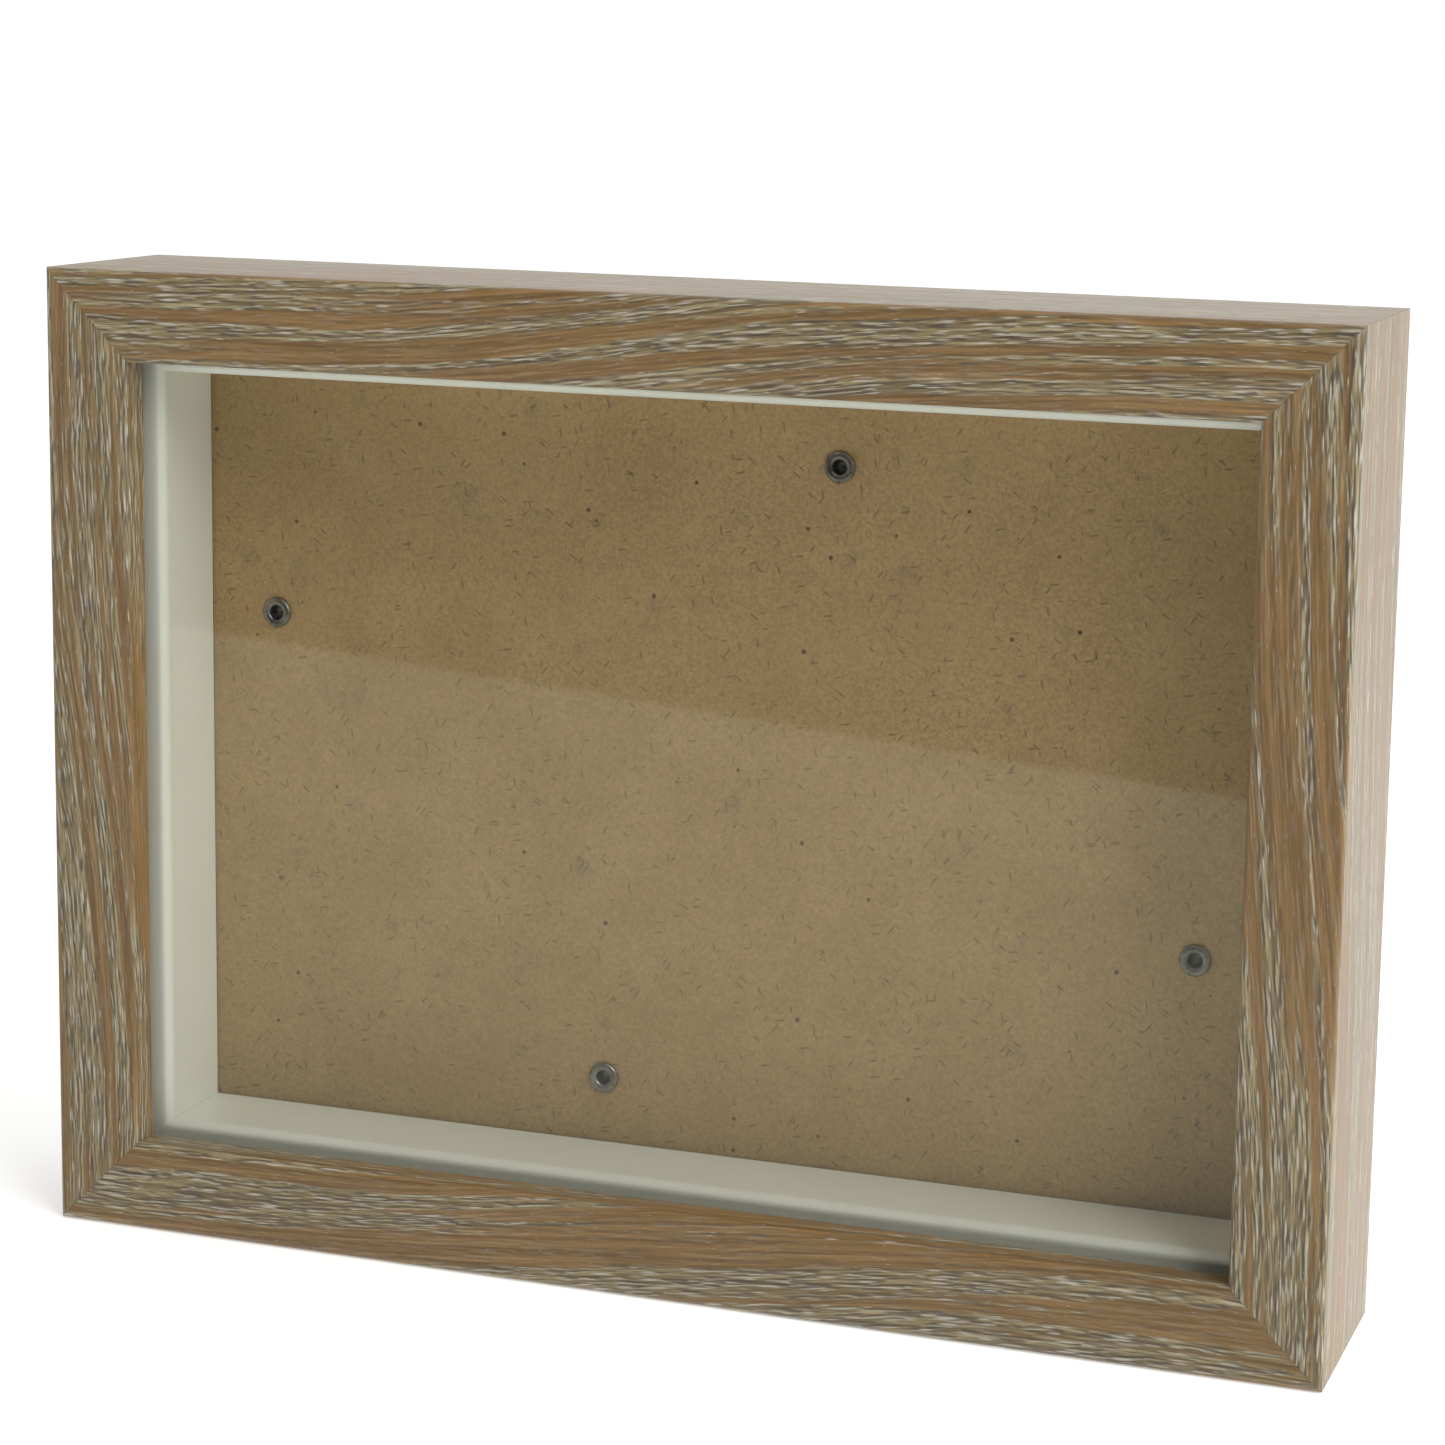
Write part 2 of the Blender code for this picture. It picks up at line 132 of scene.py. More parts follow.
# Hangers and pins
HANGER_LENGTH = 40.0 * MM
HANGER_WIDTH = 7.6 * MM
HANGER_THICKNESS = 0.8 * MM
HANGER_RISE = 1.4 * MM
HANGER_BRIDGE = 26.0 * MM
HANGER_RAMP = 2.0 * MM
TOOTH_COUNT = 9
TOOTH_DEPTH = 1.4 * MM
TOOTH_CREST_RISE = 0.1 * MM
HANGER_EDGE_RADIUS = 0.12 * MM
PIN_SPREAD = 16.4 * MM
PIN_RADIUS = 0.6 * MM
PIN_HEAD_RADIUS = 1.5 * MM
PIN_HEAD_HEIGHT = 0.7 * MM
PIN_LENGTH = 8.0 * MM
PIN_POINT_LENGTH = 1.8 * MM

# How finely the shapes are drawn, and the angles in degrees past which an edge is sharp or is bevelled
FOIL_STATIONS = 80
ARC_STEPS = 8
ROUND_STEPS = 64
PIN_STEPS = 32
BEVEL_STEPS = 3
SMALL_BEVEL_STEPS = 2
SHARP_ANGLE = 35
ROLLED_SHARP_ANGLE = 50
BEVEL_ANGLE = 40

# How far a cutter stands out past the surface of the board, rail or hanger that it cuts
CUT_MARGIN = 1.0 * MM

# Each side: its turn about Y from the bottom rail, its outer length and the middle of its outer face
SIDES = {
    "bottom": (0, WIDTH, Vector((0, 0, 0))),
    "left": (90, HEIGHT, Vector((-WIDTH / 2, 0, HEIGHT / 2))),
    "top": (180, WIDTH, Vector((0, 0, HEIGHT))),
    "right": (270, HEIGHT, Vector((WIDTH / 2, 0, HEIGHT / 2))),
}
# Each corner: the signs of its X and of its Z above the middle, and the two rails that meet there
CORNERS = {
    "bottom_left": (-1, -1, ("bottom", "left")),
    "bottom_right": (1, -1, ("bottom", "right")),
    "top_left": (-1, 1, ("top", "left")),
    "top_right": (1, 1, ("top", "right")),
}


# ---------------------------------------------------------------- finishes

WHITE = (1.0, 1.0, 1.0)

SOCKETS = {
    "base_color": "Base Color",
    "emission_color": "Emission Color",
    "emission_strength": "Emission Strength",
    "metallic": "Metallic",
    "roughness": "Roughness",
    "ior": "IOR",
    "normal": "Normal",
}


class Finish:
    """One material's node tree, with a short call for each kind of node that the finishes use."""

    def __init__(self, name):
        self.material = bpy.data.materials.new(name)
        self.material.use_nodes = True
        self.tree = self.material.node_tree
        self.shader = self.tree.nodes["Principled BSDF"]

    def feed(self, socket, value):
        """Links a socket to a node's output, or sets it to a plain value."""
        if isinstance(value, bpy.types.NodeSocket):
            self.tree.links.new(value, socket)
        elif isinstance(value, tuple) and len(value) == 3 and socket.type == "RGBA":
            socket.default_value = (*value, 1.0)
        else:
            socket.default_value = value

    def set(self, **values):
        """Sets or links the shader's own sockets."""
        for name, value in values.items():
            self.feed(self.shader.inputs[SOCKETS[name]], value)

    def add(self, kind, *values, **settings):
        """A new node with these settings, its sockets fed in order from the first."""
        node = self.tree.nodes.new("ShaderNode" + kind)
        for name, value in settings.items():
            setattr(node, name, value)
        for socket, value in zip(node.inputs, values):
            self.feed(socket, value)
        return node

    def own_point(self):
        """The object's own coordinates, in millimetres."""
        point = self.add("TexCoord").outputs["Object"]
        return self.add("VectorMath", point, (1 / MM,) * 3, operation="MULTIPLY").outputs[0]

    def attribute(self, name):
        return self.add("Attribute", attribute_name=name).outputs["Vector"]

    def stretch(self, point, size, shift=(0, 0, 0)):
        """The point divided by the size of one feature each way, then shifted."""
        inverse = tuple(1 / s for s in size)
        return self.add("VectorMath", point, inverse, shift, operation="MULTIPLY_ADD").outputs[0]

    def noise(self, point, size, shift=(0, 0, 0), detail=2.0, roughness=0.5):
        """Cloudy noise from 0 to 1, about the given size each way."""
        node = self.add("TexNoise")
        self.feed(node.inputs["Vector"], self.stretch(point, size, shift))
        node.inputs["Scale"].default_value = 1.0
        node.inputs["Detail"].default_value = detail
        node.inputs["Roughness"].default_value = roughness
        return node.outputs[0]

    def cells(self, point, size, shift=(0, 0, 0), dimensions="3D"):
        """Distance to the nearest scattered point, and a random number for that point."""
        node = self.add("TexVoronoi", voronoi_dimensions=dimensions)
        self.feed(node.inputs["Vector"], self.stretch(point, size, shift))
        node.inputs["Scale"].default_value = 1.0
        parts = self.add("SeparateXYZ", node.outputs["Color"])
        return node.outputs["Distance"], parts.outputs[0]

    def math(self, operation, a, b=0.0):
        return self.add("Math", a, b, operation=operation).outputs[0]

    def fade(self, value, start, end, low=0.0, high=1.0):
        """From low at start to high at end, smoothly and no further."""
        node = self.add("MapRange", value, start, end, low, high, interpolation_type="SMOOTHSTEP")
        return node.outputs[0]

    def mix(self, share, a, b, blend="MIX"):
        node = self.add("Mix", data_type="RGBA", blend_type=blend)
        self.feed(node.inputs[0], share)
        self.feed(node.inputs[6], a)
        self.feed(node.inputs[7], b)
        return node.outputs[2]

    def shade(self, colour, level):
        """The colour times a level, which may be above one."""
        grey = self.add("CombineColor", level, level, level).outputs[0]
        return self.mix(1.0, colour, grey, blend="MULTIPLY")

    def bump(self, height, distance, strength):
        node = self.add("Bump")
        node.inputs["Strength"].default_value = strength
        node.inputs["Distance"].default_value = distance
        self.feed(node.inputs["Height"], height)
        return node.outputs["Normal"]


# Oak foil: each kind of wood from dark to light, and the colours printed on it
SMOOTH_WOOD = ((0.175, 0.098, 0.032), (0.268, 0.155, 0.054))
LIMED_WOOD = ((0.180, 0.134, 0.066), (0.305, 0.243, 0.126))
LIME = (0.46, 0.43, 0.34)
BRIGHT_LIME = (0.56, 0.53, 0.46)
OPEN_PORE = (0.085, 0.062, 0.044)
# How far the grain sways across its flow, in millimetres
GRAIN_SWAY = 2.6
# Each layer of streaks: their size in millimetres, a shift of the noise, and what its thresholds gain
STREAKS = (((5.2, 0.34, 3), 9, 0.0), ((3.4, 0.27, 3), 17, 0.01))
# The lime of a streak lies this far beside its dark pore, in shares of the streak's size
LIME_SHIFT = (0.15, 1.2)
LIME_SHARE = 0.70
PORE_SHARE = 0.72
SLIVER_CELL = (9.0, 0.80, 1.0)
SLIVER_WIDTH = 0.27
SLIVER_SHARE = 0.75


def oak_foil():
    """Printed limed oak. The grain attribute is (along the rail, across the flow, rail), in millimetres."""
    f = Finish("oak_foil")
    grain = f.attribute("grain")
    sway = f.noise(grain, (60, 12, 1), detail=1.0)
    lift = f.math("MULTIPLY", f.math("SUBTRACT", sway, 0.5), GRAIN_SWAY)
    flow = f.add("VectorMath", grain, f.add("CombineXYZ", 0.0, lift).outputs[0], operation="ADD").outputs[0]

    band = f.noise(flow, (100, 2.4, 30), shift=(3, 7, 0))
    limed = f.fade(band, 0.44, 0.54)
    tone = f.fade(f.noise(flow, (45, 0.8, 20), shift=(0, 31, 0), detail=3.0), 0.35, 0.65)
    colour = f.mix(limed, f.mix(tone, *SMOOTH_WOOD), f.mix(tone, *LIMED_WOOD))

    fibre = f.noise(flow, (9, 0.30, 4), shift=(0, 0, 3), detail=4.0, roughness=0.65)
    contrast = f.math("ADD", f.math("MULTIPLY", limed, 0.20), 0.22)
    level = f.math("ADD", f.math("MULTIPLY", f.fade(fibre, 0.28, 0.72, -1.0, 1.0), contrast), 1.0)
    colour = f.shade(colour, level)

    pores = f.math("ADD", f.math("MULTIPLY", limed, 0.8), 0.2)
    for size, shift, gate in STREAKS:
        beside = f.noise(flow, size, shift=(*LIME_SHIFT, shift), detail=0.0)
        under = f.noise(flow, size, shift=(0, 0, shift), detail=0.0)
        light = f.math("MULTIPLY", f.fade(beside, 0.60 + gate, 0.74 + gate), pores)
        dark = f.math("MULTIPLY", f.fade(under, 0.56 + gate, 0.68 + gate), pores)
        colour = f.mix(f.math("MULTIPLY", light, LIME_SHARE), colour, LIME)
        colour = f.mix(f.math("MULTIPLY", dark, PORE_SHARE), colour, OPEN_PORE)
    distance, chance = f.cells(flow, SLIVER_CELL, dimensions="2D")
    reach = f.math("MULTIPLY", f.math("MULTIPLY", chance, pores), SLIVER_WIDTH)
    sliver = f.fade(f.math("DIVIDE", distance, reach), 1.0, 0.3, 0.0, SLIVER_SHARE)
    colour = f.mix(sliver, colour, BRIGHT_LIME)

    rough = f.fade(fibre, 0.3, 0.7, 0.32, 0.46)
    height = f.math("SUBTRACT", fibre, f.math("MULTIPLY", dark, 0.8))
    f.set(base_color=colour, roughness=rough, ior=1.6, normal=f.bump(height, 0.05 * MM, 0.35))
    return f.material


# Pressed wood fibre: its light and dark browns as backboard and as raw MDF, and what lies on them
HARDBOARD = ((0.392, 0.264, 0.120), (0.356, 0.234, 0.103))
RAW_MDF = ((0.48, 0.34, 0.19), (0.40, 0.27, 0.145))
SMUDGE = (0.17, 0.135, 0.090)
HAIR = (0.080, 0.055, 0.030)
SPECK = (0.075, 0.035, 0.022)
# Hairs lie in cells of this size in millimetres, turned by each of these angles in degrees and shifted
HAIR_ANGLES = (10, 55, 100, 145)
HAIR_CELL = (3.5, 0.72, 0.72)
HAIR_SHIFT = (3.7, 1.9, 5.3)
# The share of the cells that hold a hair, and the widest hair in shares of a cell
HAIR_CHANCE = 0.34
HAIR_WIDTH = 0.24
HAIR_SHARE = 0.42
SPECK_CELL = (3.5, 3.5, 3.5)
SPECK_SHARE = 0.8


def board_colour(f, point, light, dark):
    """The mottled brown of pressed wood fibre, with fine dark hairs every way, specks and grey smudges."""
    cloud = f.noise(point, (14, 14, 14), detail=4.0, roughness=0.6)
    colour = f.mix(f.fade(cloud, 0.3, 0.7), dark, light)
    smudge = f.noise(point, (7, 7, 7), shift=(9, 2, 4), detail=3.0, roughness=0.6)
    colour = f.mix(f.fade(smudge, 0.60, 0.75, 0.0, 0.35), colour, SMUDGE)
    fluff = f.noise(point, (0.5, 0.5, 0.5), shift=(5, 5, 5), detail=4.0, roughness=0.7)
    colour = f.shade(colour, f.fade(fluff, 0.25, 0.75, 0.80, 1.20))
    for index, angle in enumerate(HAIR_ANGLES):
        turn = f.add("VectorRotate", point, rotation_type="Y_AXIS")
        f.feed(turn.inputs["Angle"], math.radians(angle))
        shift = tuple(index * step for step in HAIR_SHIFT)
        distance, chance = f.cells(turn.outputs[0], HAIR_CELL, shift=shift)
        width = f.math("MULTIPLY", f.fade(chance, 0.0, HAIR_CHANCE, 1.0, 0.0), HAIR_WIDTH)
        hair = f.math("LESS_THAN", distance, width)
        colour = f.mix(f.math("MULTIPLY", hair, HAIR_SHARE), colour, HAIR)
    distance, chance = f.cells(point, SPECK_CELL)
    speck = f.math("MULTIPLY", f.fade(distance, 0.13, 0.07), f.fade(chance, 0.20, 0.18))
    return f.mix(f.math("MULTIPLY", speck, SPECK_SHARE), colour, SPECK), fluff


def hardboard():
    f = Finish("hardboard")
    colour, fluff = board_colour(f, f.own_point(), *HARDBOARD)
    roughness = f.fade(fluff, 0.3, 0.7, 0.55, 0.75)
    f.set(base_color=colour, roughness=roughness, normal=f.bump(fluff, 0.04 * MM, 0.4))
    return f.material


def raw_mdf():
    f = Finish("raw_mdf")
    colour, fluff = board_colour(f, f.own_point(), *RAW_MDF)
    f.set(base_color=colour, roughness=0.88, normal=f.bump(fluff, 0.08 * MM, 0.6))
    return f.material


CREAM = ((0.79, 0.80, 0.71), (0.82, 0.83, 0.74))
# The level of the painted shade on the liner's front face, which stands in for the lip's shadow, and where
# behind the face it begins to fade and ends, in millimetres
PAINTED_SHADE_LEVEL = 0.80
PAINTED_SHADE_START = 0.03
PAINTED_SHADE_END = 0.30


def cream_foil():
    """Satin cream foil, with painted shade that greys the strip's front face, standing in for the shadow of
    the lip in front of it.
    """
    f = Finish("cream_foil")
    point = f.own_point()
    cloud = f.noise(point, (22, 22, 22), detail=3.0)
    skin = f.noise(point, (0.5, 0.5, 0.5))
    colour = f.mix(f.fade(cloud, 0.3, 0.7), *CREAM)
    depth = f.add("SeparateXYZ", point).outputs[1]
    front = LINER_LOW.y / MM
    # Painted shade: the front face is darker here, standing in for the lip's shadow
    colour = f.shade(colour, f.fade(depth, front + PAINTED_SHADE_START, front + PAINTED_SHADE_END, PAINTED_SHADE_LEVEL, 1.0))
    roughness = f.fade(skin, 0.3, 0.7, 0.30, 0.38)
    f.set(base_color=colour, roughness=roughness, normal=f.bump(skin, 0.01 * MM, 0.3))
    return f.material


GLASS_INDEX = 1.5
GLASS_TINT = (0.985, 0.992, 0.985)


def clear_glass():
    """Sees straight through, with a mirror's share that grows at a glance from either side of each face."""
    f = Finish("clear_glass")
    tree = f.tree
    tree.nodes.remove(f.shader)
    behind = f.add("NewGeometry").outputs["Backfacing"]
    index = f.add("MapRange", behind, 0.0, 1.0, GLASS_INDEX, 1 / GLASS_INDEX).outputs[0]
    share = f.add("Fresnel", index).outputs[0]
    smear = f.noise(f.own_point(), (30, 30, 30), detail=3.0)
    clear = f.add("BsdfTransparent", GLASS_TINT).outputs[0]
    mirror = f.add("BsdfGlossy", WHITE, f.fade(smear, 0.35, 0.7, 0.0, 0.03)).outputs[0]
    both = f.add("MixShader", share, clear, mirror).outputs[0]
    tree.links.new(both, tree.nodes["Material Output"].inputs["Surface"])
    return f.material


def metal(name, bright, dull, roughness, spots=0.15):
    """Plated sheet or wire: cloudy plating, fine rubbing marks, and dull spots in a share of its cells."""
    f = Finish(name)
    point = f.own_point()
    cloud = f.noise(point, (2.2, 2.2, 2.2), detail=4.0, roughness=0.6)
    rub = f.noise(point, (0.12, 1.6, 0.5))
    distance, chance = f.cells(point, (1.1, 1.1, 1.1))
    spot = f.math("MULTIPLY", f.fade(distance, 0.35, 0.15), f.fade(chance, spots, spots - 0.05))
    colour = f.mix(f.fade(cloud, 0.35, 0.65), dull, bright)
    colour = f.mix(f.math("MULTIPLY", spot, 0.6), colour, tuple(0.5 * c for c in dull))
    rubbed = f.fade(rub, 0.3, 0.7, roughness - 0.06, roughness + 0.08)
    rough = f.math("ADD", rubbed, f.math("MULTIPLY", spot, 0.2))
    f.set(base_color=colour, metallic=1.0, roughness=rough, normal=f.bump(rub, 0.01 * MM, 0.25))
    return f.material


def make_finishes():
    return {
        "oak_foil": oak_foil(),
        "raw_mdf": raw_mdf(),
        "hardboard": hardboard(),
        "cream_foil": cream_foil(),
        "clear_glass": clear_glass(),
        "zinc_steel": metal(
            "zinc_steel", bright=(0.62, 0.63, 0.64), dull=(0.52, 0.53, 0.55), roughness=0.34
        ),
        "dark_steel": metal(
            "dark_steel", bright=(0.38, 0.37, 0.35), dull=(0.20, 0.19, 0.18), roughness=0.38, spots=0.3
        ),
        "brassed_steel": metal(
            "brassed_steel", bright=(0.70, 0.54, 0.27), dull=(0.60, 0.45, 0.22), roughness=0.30
        ),
    }


# ---------------------------------------------------------------- shapes

def side_matrix(side):
    """From a side's own axes (X along it, Y from front to back, Z inwards) to the frame's."""
    turn, _, middle = SIDES[side]
    return Matrix.Translation(middle) @ Matrix.Rotation(math.radians(turn), 4, "Y")


def arc(centre, radius, start, end, steps=ARC_STEPS):
    """Points of an arc in a plane, from one angle to another in degrees, both ends included."""
    angles = [math.radians(start + (end - start) * i / steps) for i in range(steps + 1)]
    return [(centre[0] + radius * math.cos(a), centre[1] + radius * math.sin(a)) for a in angles]


def finish_mesh(form, name, sharp=SHARP_ANGLE):
    """The bmesh as a mesh with its faces turned outwards, smooth but for edges sharper than that angle."""
    bmesh.ops.recalc_face_normals(form, faces=form.faces)
    mesh = bpy.data.meshes.new(name)
    form.to_mesh(mesh)
    form.free()
    mesh.shade_smooth()
    mesh.set_sharp_from_angle(angle=math.radians(sharp))
    return mesh


def place(name, mesh, matrix, *finishes):
    """A new piece in the scene, with its finishes in the order of its faces' material numbers."""
    piece = bpy.data.objects.new(name, mesh)
    piece.matrix_world = matrix
    for finish in finishes:
        mesh.materials.append(finish)
    bpy.context.scene.collection.objects.link(piece)
    return piece


def attach(piece, body, slot, *nodes):
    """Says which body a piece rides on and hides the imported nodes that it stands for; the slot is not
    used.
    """
    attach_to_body(piece, body)
    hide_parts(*nodes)


def sweep(form, outline, length, stations):
    """A closed bar from mitre to mitre along X, from (depth, inwards) points. Returns its rings."""
    rings = []
    for index in range(stations + 1):
        share = 2 * index / stations - 1
        ring = []
        for depth, inwards in outline:
            half = length / 2 - inwards - MITRE_GAP
            ring.append(form.verts.new((share * half, depth, inwards)))
        rings.append(ring)
    for ring, following in zip(rings, rings[1:]):
        for i, vertex in enumerate(ring):
            j = (i + 1) % len(ring)
            form.faces.new((vertex, ring[j], following[j], following[i]))
    form.faces.new(rings[0])
    form.faces.new(rings[-1])
    return rings


def prism(form, outline, bottom, top):
    """The outline in the XY plane as a closed solid between two heights."""
    lower = [form.verts.new((x, y, bottom)) for x, y in outline]
    upper = [form.verts.new((x, y, top)) for x, y in outline]
    form.faces.new(lower)
    form.faces.new(upper)
    for i, vertex in enumerate(lower):
        j = (i + 1) % len(lower)
        form.faces.new((vertex, lower[j], upper[j], upper[i]))


def turned(form, profile, steps=ROUND_STEPS):
    """A closed body of revolution about Z from (radius, height) points that start and end on the axis."""
    rings = []
    for radius, height in profile:
        if radius == 0:
            rings.append([form.verts.new((0, 0, height))] * steps)
            continue
        turns = [2 * math.pi * i / steps for i in range(steps)]
        rings.append([form.verts.new((radius * math.cos(a), radius * math.sin(a), height)) for a in turns])
    for ring, following in zip(rings, rings[1:]):
        for i in range(steps):
            j = (i + 1) % steps
            corners = dict.fromkeys((ring[i], ring[j], following[j], following[i]))
            form.faces.new(list(corners))


CUTTERS = set()


def cut(piece, cutter):
    """Cuts a helper's shape out of a piece when the piece is settled."""
    CUTTERS.add(cutter)
    boolean = piece.modifiers.new("cut", "BOOLEAN")
    boolean.operation = "DIFFERENCE"
    boolean.solver = "EXACT"
    boolean.object = cutter


def soften(piece, radius, steps=BEVEL_STEPS):
    """Rounds a piece's edges when the piece is settled."""
    bevel = piece.modifiers.new("soften", "BEVEL")
    bevel.width = radius
    bevel.segments = steps
    bevel.limit_method = "ANGLE"
    bevel.angle_limit = math.radians(BEVEL_ANGLE)


def clear_cutters():
    """Takes the helpers away once every piece that they cut is settled."""
    for cutter in CUTTERS:
        bpy.data.objects.remove(cutter)


def settle(piece):
    """Makes what the piece's modifiers give its own mesh, smooth but for its sharp edges."""
    bpy.context.view_layer.update()
    graph = bpy.context.evaluated_depsgraph_get()
    mesh = bpy.data.meshes.new_from_object(piece.evaluated_get(graph))
    mesh.shade_smooth()
    mesh.set_sharp_from_angle(angle=math.radians(SHARP_ANGLE))
    piece.modifiers.clear()
    piece.data = mesh


# ---------------------------------------------------------------- rails

def wrap_path(under):
    """The foil's way round a rail, from its back to the back of its lip, at a depth under the surface."""
    back, front, sight = BACK_EDGE_RADIUS, FRONT_EDGE_RADIUS, SIGHT_EDGE_RADIUS
    return [
        (BACK_Y - under, FOIL_WRAP),
        *arc((BACK_Y - back, back), back - under, 360, 270),
        *arc((FRONT_Y + front, front), front - under, 270, 180),
        *arc((FRONT_Y + sight, LIP_WIDTH - sight), sight - under, 180, 90),
        (LIP_BACK_Y, LIP_WIDTH - under),
    ]


def unrolled(path):
    """How far each point of the path lies along it, counted from the middle of the front outer edge."""
    total, lengths = 0.0, [0.0]
    for (y0, z0), (y1, z1) in zip(path, path[1:]):
        total += math.hypot(y1 - y0, z1 - z0)
        lengths.append(total)
    wrap_end, back_arc = 1, ARC_STEPS + 1
    edge = wrap_end + back_arc + ARC_STEPS // 2
    return [length - lengths[edge] for length in lengths]


def grain_drift(share, length):
    """How far the grain has drifted inwards at a share (-1 to 1) of a rail: level at both ends."""
    return GRAIN_DRIFT * length / 2 * (share + math.sin(math.pi * share) / math.pi)


def rail_foil(side, start, drift, number, finish):
    """The foil of one rail; its grain starts where the last rail's grain ended."""
    _, length, _ = SIDES[side]
    outer = wrap_path(0)
    section = outer + wrap_path(FOIL_THICKNESS)[::-1]
    across = unrolled(outer)
    across += across[::-1]
    form = bmesh.new()
    layer = form.verts.layers.float_vector.new("grain")
    rings = sweep(form, section, length, FOIL_STATIONS)
    for ring in rings:
        for vertex, u in zip(ring, across):
            share = 2 * vertex.co.x / length
            along = start + vertex.co.x + length / 2
            flow = u - drift - grain_drift(share, length) - grain_drift(1, length)
            vertex[layer] = Vector((along, flow, number * GRAIN_RAIL_STEP)) / MM
    piece = place(f"rail_{side}_foil", finish_mesh(form, "foil"), side_matrix(side), finish)
    attach(piece, "frame", "oak_foil", "rail_" + side)


def core_outline():
    """Section of the MDF inside the foil, with the rebate and the groove at its inner side."""
    back = BACK_EDGE_RADIUS
    middle = (BUTTON_LOW.y + BUTTON_HIGH.y) / 2
    near, far = middle - GROOVE_WIDTH / 2, middle + GROOVE_WIDTH / 2
    return [
        *wrap_path(FOIL_THICKNESS)[1:],
        (LIP_BACK_Y, RAIL_THICKNESS),
        (near, RAIL_THICKNESS),
        (near, RAIL_THICKNESS - GROOVE_DEPTH),
        (far, RAIL_THICKNESS - GROOVE_DEPTH),
        (far, RAIL_THICKNESS),
        *arc((CORE_BACK_Y - back, RAIL_THICKNESS - back), back, 90, 0),
    ]


def rail_core(side, finish):
    """The MDF of one rail, from mitre to mitre."""
    _, length, _ = SIDES[side]
    form = bmesh.new()
    sweep(form, core_outline(), length, 1)
    piece = place(f"rail_{side}_core", finish_mesh(form, "core"), side_matrix(side), finish)
    attach(piece, "frame", "raw_board", "rail_" + side)
    return piece


def v_nail_outline(where, spread):
    """An L of two equal legs, its bend on the mitre and slightly blunted, grown by the spread."""
    low = where - spread
    inner = where + V_NAIL_THICKNESS + spread
    end = where + V_NAIL_LEG + spread
    leg = [(low + V_NAIL_BLUNT, low), (end, low), (end, inner), (inner + V_NAIL_BLUNT, inner)]
    return leg + [(y, x) for x, y in reversed(leg)]


def corner_matrix(corner):
    """From a corner's own axes (X and Y inwards along its two rails, Z to the back) to the frame's."""
    sign_x, sign_z, _ = CORNERS[corner]
    place_x, place_z = sign_x * WIDTH / 2, HEIGHT / 2 * (1 + sign_z)
    columns = Matrix(((-sign_x, 0, 0), (0, 0, 1), (0, -sign_z, 0)))
    return Matrix.Translation((place_x, 0, place_z)) @ columns.to_4x4()


def v_nail_mesh(name, where, spread, top):
    """A V-nail's shape, grown by the spread to its sides and its front, up to the given height."""
    form = bmesh.new()
    prism(form, v_nail_outline(where, spread), CORE_BACK_Y - V_NAIL_HEIGHT - spread, top)
    return finish_mesh(form, name)


def build_corners(cores, finish):
    """The V-nails, and their pockets in the backs of the rails."""
    for corner, (_, _, meeting) in CORNERS.items():
        upright = corner_matrix(corner)
        for label, where in V_NAIL_PLACES.items():
            name = f"v_nail_{corner}_{label}"
            wedge = v_nail_mesh(name, where, 0, CORE_BACK_Y - V_NAIL_SINK)
            nail = place(name + "_wedge", wedge, upright, finish)
            soften(nail, V_NAIL_EDGE_RADIUS, SMALL_BEVEL_STEPS)
            settle(nail)
            attach(nail, "frame", "zinc_steel", name)
            hollow = v_nail_mesh("pocket", where, V_NAIL_POCKET, CORE_BACK_Y + CUT_MARGIN)
            pocket = place("pocket_" + name, hollow, upright)
            for side in meeting:
                cut(cores[side], pocket)
    for core in cores.values():
        settle(core)


def build_rails(finishes):
    """The four rails clockwise from the top, so that the grain runs on from one to the next."""
    cores = {}
    start, drift = 0.0, 0.0
    for number, side in enumerate(("top", "right", "bottom", "left")):
        rail_foil(side, start, drift, number, finishes["oak_foil"])
        cores[side] = rail_core(side, finishes["raw_mdf"])
        _, length, _ = SIDES[side]
        start += length
        drift += 2 * grain_drift(1, length)
    build_corners(cores, finishes["zinc_steel"])


# ---------------------------------------------------------------- glazing, liner, back

def liner_outline(side):
    """Section of a liner strip, from its outer front corner round to its nose."""
    nose = LINER_NOSE_RADIUS
    low, high = LINER_LOW, LINER_HIGH
    inner = high.z - LINER_TUCK if side == "right" else high.z
    return [
        (low.y, low.z),
        (high.y, low.z),
        (high.y, inner),
        *arc((low.y + nose, inner - nose), nose, 90, 180, 2 * ARC_STEPS),
    ]


def build_liners(finishes):
    """Four mitred strips: cream foil on the nose and the wall, bare MDF behind and outside."""
    for side in SIDES:
        _, length, _ = SIDES[side]
        form = bmesh.new()
        sweep(form, liner_outline(side), length, 1)
        for face in form.faces:
            middle = face.calc_center_median()
            outside = middle.z < LINER_LOW.z + FACE_TOLERANCE
            behind = middle.y > LINER_HIGH.y - FACE_TOLERANCE
            face.material_index = 1 if outside or behind else 0
        strip = finish_mesh(form, "liner")
        skins = (finishes["cream_foil"], finishes["raw_mdf"])
        piece = place(f"liner_{side}_strip", strip, side_matrix(side), *skins)
        attach(piece, "frame", "cream_foil", "liner_" + side)


def button_matrix(side):
    """From a button's own axes (X towards its tip, Z to the back, origin on the board) to the frame's."""
    low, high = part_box("rivet_" + side)
    pivot = Vector(((low.x + high.x) / 2, BOARD_HIGH.y, (low.z + high.z) / 2))
    turn = Matrix.Rotation(math.radians(BUTTON_TURNS[side]), 4, "Y")
    return Matrix.Translation(pivot) @ turn @ Matrix.Rotation(math.radians(-90), 4, "X")


